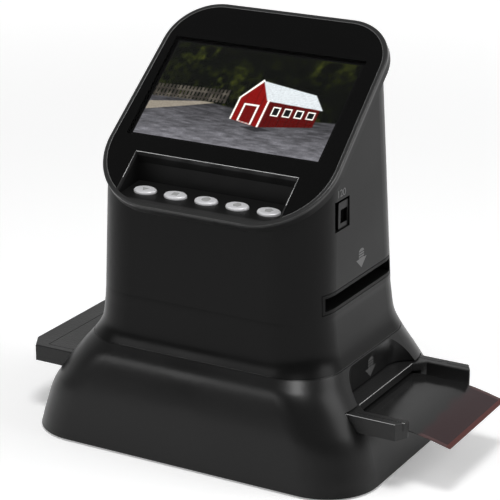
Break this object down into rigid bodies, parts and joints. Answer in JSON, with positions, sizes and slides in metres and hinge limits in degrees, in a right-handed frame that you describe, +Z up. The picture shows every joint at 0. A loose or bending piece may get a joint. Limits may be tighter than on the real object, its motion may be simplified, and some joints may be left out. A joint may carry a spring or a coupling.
{
  "type": "film negative scanner",
  "caption": "Desktop film scanner: flared foot, tapered tower with a slanted colour screen over a row of oval buttons, a side film slot, and a sliding roll-film holder through the foot.",
  "frame": {"origin": "on the standing plane, under the middle of the whole object's bounding box, which is 10 mm right of the body's centre plane", "axes": "+X viewer's right, where the film holder leaves the body; -Y front; +Z up"},
  "size_m": [0.216, 0.1247, 0.1901],
  "materials": {
    "body_black": "fine satin moulded black",
    "rim_grey": "satin charcoal",
    "window_black": "polished black acrylic",
    "screen": "lit screen",
    "button_silver": "silver lacquer",
    "holder_black": "fine textured black",
    "film": "translucent red-brown film base",
    "rubber_black": "soft black rubber",
    "steel": "zinc-plated steel",
    "pcb_green": "solder-masked board",
    "chip_black": "moulded chips",
    "led_white": "white packages",
    "diffuser_white": "opal acrylic",
    "tray_white": "white moulded tray",
    "lens_glass": "coated glass",
    "barrel_black": "black anodised",
    "magnet": "nickel-plated",
    "sensor_dark": "image sensor"
  },
  "bodies": {
    "housing": {"base_shell": "body_black", "tower_shell": "body_black", "bottom_plate": "body_black", "rubber_feet": "rubber_black", "bottom_screws": "steel", "shell_screws": "steel", "channel_floor": "holder_black", "channel_roof": "holder_black", "channel_screws": "steel", "light_box": "tray_white", "light_diffuser": "diffuser_white", "led_board": "pcb_green", "leds": "led_white", "upper_slot_liner": "body_black", "display_bezel": "rim_grey", "display_window": "window_black", "lcd_panel": "screen", "lcd_tray": "steel", "tray_screws": "steel", "main_board": "pcb_green", "main_chips": "chip_black", "main_screws": "steel", "key_switches": "chip_black", "key_board": "pcb_green", "key_screws": "steel", "optics_bridge": "body_black", "bridge_screws": "steel", "guide_rods": "steel", "sensor_deck": "body_black", "sensor_board": "pcb_green", "image_sensor": "sensor_dark", "sensor_screws": "steel", "socket_board": "pcb_green", "socket_screws": "steel", "usb_socket": "steel", "video_socket": "steel", "card_socket": "steel"},
    "selector": {"selector_knob": "body_black", "selector_slide": "body_black"},
    "lens_unit": {"lens_carriage": "body_black", "lens_barrel": "barrel_black", "lens_glass": "lens_glass"},
    "film_holder": {"holder_frame": "holder_black", "holder_cover": "holder_black", "holder_hinge_pins": "steel", "holder_magnets": "magnet"},
    "film": {"film_strip": "film"},
    "button_1": {"button_1": "button_silver"},
    "button_2": {"button_2": "button_silver"},
    "button_3": {"button_3": "button_silver"},
    "button_4": {"button_4": "button_silver"},
    "button_5": {"button_5": "button_silver"}
  },
  "joints": [
    {"name": "button_1_press", "type": "slide", "parent": "housing", "child": "button_1", "axis": [0, 0.1045, -0.9945], "range_m": [0, 0.0006], "stiffness_N_per_m": 800},
    {"name": "button_2_press", "type": "slide", "parent": "housing", "child": "button_2", "axis": [0, 0.1045, -0.9945], "range_m": [0, 0.0006], "stiffness_N_per_m": 800},
    {"name": "button_3_press", "type": "slide", "parent": "housing", "child": "button_3", "axis": [0, 0.1045, -0.9945], "range_m": [0, 0.0006], "stiffness_N_per_m": 800},
    {"name": "button_4_press", "type": "slide", "parent": "housing", "child": "button_4", "axis": [0, 0.1045, -0.9945], "range_m": [0, 0.0006], "stiffness_N_per_m": 800},
    {"name": "button_5_press", "type": "slide", "parent": "housing", "child": "button_5", "axis": [0, 0.1045, -0.9945], "range_m": [0, 0.0006], "stiffness_N_per_m": 800},
    {"name": "selector_move", "type": "slide", "parent": "housing", "child": "selector", "axis": [0, -1, 0], "range_m": [0, 0.0042]},
    {"name": "lens_lift", "type": "slide", "parent": "housing", "child": "lens_unit", "axis": [0, 0, -1], "range_m": [0, 0.0018]},
    {"name": "holder_slide", "type": "slide", "parent": "housing", "child": "film_holder", "axis": [1, 0, 0], "range_m": [-0.025, 0.06]},
    {"name": "film_pull", "type": "slide", "parent": "film_holder", "child": "film", "axis": [1, 0, 0], "range_m": [0, 0.06]}
  ],
  "couplings": [
    {"joint": "lens_lift", "follows": "selector_move", "ratio": 0.42857}
  ]
}
